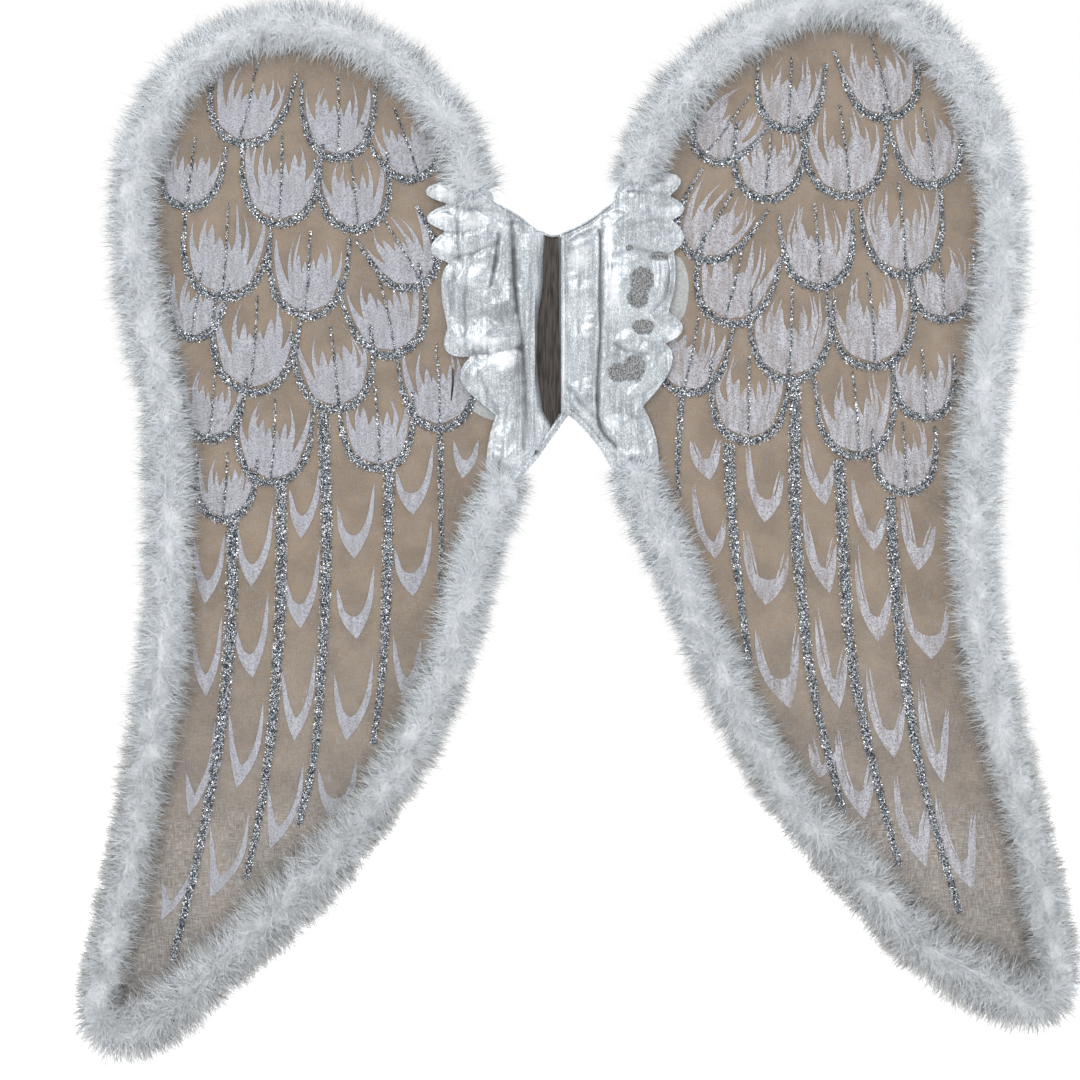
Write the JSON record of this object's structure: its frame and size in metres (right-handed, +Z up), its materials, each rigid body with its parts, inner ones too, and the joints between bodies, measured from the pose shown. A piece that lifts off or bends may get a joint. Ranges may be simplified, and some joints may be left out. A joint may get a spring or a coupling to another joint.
{
  "type": "fairy wings",
  "caption": "Wearable fairy wings: two wire-framed sheer printed wings edged with marabou, folding on a padded silver centre panel with elastic shoulder loops.",
  "frame": {"origin": "middle of the centre strip's back face, where it lies against the wearer's back", "axes": "+Z up along the wearer's back, +Y towards the wearer, -Y is the decorated side, +X to the right seen from behind the wearer"},
  "size_m": [0.7509, 0.1113, 0.806],
  "materials": {
    "sheer_fabric": "sheer knitted fabric, white and glitter prints",
    "marabou": "fluffy down",
    "silver_lame": "satin metallic cloth",
    "lining": "matte",
    "wadding": "matte",
    "dark_cloth": "matte ribbed",
    "hem_tape": "matte",
    "elastic": "matte woven",
    "frame_wire": "satin",
    "ferrule_metal": "satin"
  },
  "bodies": {
    "centre": {"centre_strip": "dark_cloth", "strip_top_binding": "silver_lame", "strip_bottom_binding": "silver_lame"},
    "left_wing": {"left_wing_fabric": "sheer_fabric", "left_wire_frame": "frame_wire", "left_wire_ferrule": "ferrule_metal", "left_edge_casing": "hem_tape", "left_marabou_trim": "marabou", "left_feather_cover": "silver_lame", "left_panel_padding": "wadding", "left_panel_backing": "lining", "left_top_binding": "silver_lame", "left_bottom_binding": "silver_lame", "left_strap_end_top": "elastic", "left_strap_end_bottom": "elastic", "left_strap_patch_top": "hem_tape", "left_strap_patch_bottom": "hem_tape"},
    "right_wing": {"right_wing_fabric": "sheer_fabric", "right_wire_frame": "frame_wire", "right_wire_ferrule": "ferrule_metal", "right_edge_casing": "hem_tape", "right_marabou_trim": "marabou", "right_feather_cover": "silver_lame", "right_panel_padding": "wadding", "right_panel_backing": "lining", "right_top_binding": "silver_lame", "right_bottom_binding": "silver_lame", "right_strap_end_top": "elastic", "right_strap_end_bottom": "elastic", "right_strap_patch_top": "hem_tape", "right_strap_patch_bottom": "hem_tape"},
    "left_strap": {"left_shoulder_strap": "elastic"},
    "right_strap": {"right_shoulder_strap": "elastic"}
  },
  "joints": [
    {"name": "left_wing_fold", "type": "hinge", "parent": "centre", "child": "left_wing", "pos_m": [-0.009, -0.0005, 0], "axis": [0, 0, 1], "range_deg": [-12, 60]},
    {"name": "right_wing_fold", "type": "hinge", "parent": "centre", "child": "right_wing", "pos_m": [0.009, -0.0005, 0], "axis": [0, 0, -1], "range_deg": [-12, 60]},
    {"name": "left_strap_swing", "type": "hinge", "parent": "left_wing", "child": "left_strap", "pos_m": [-0.044, 0.002, 0], "axis": [0, 0, 1], "range_deg": [-8, 60]},
    {"name": "right_strap_swing", "type": "hinge", "parent": "right_wing", "child": "right_strap", "pos_m": [0.044, 0.002, 0], "axis": [0, 0, -1], "range_deg": [-8, 60]}
  ]
}
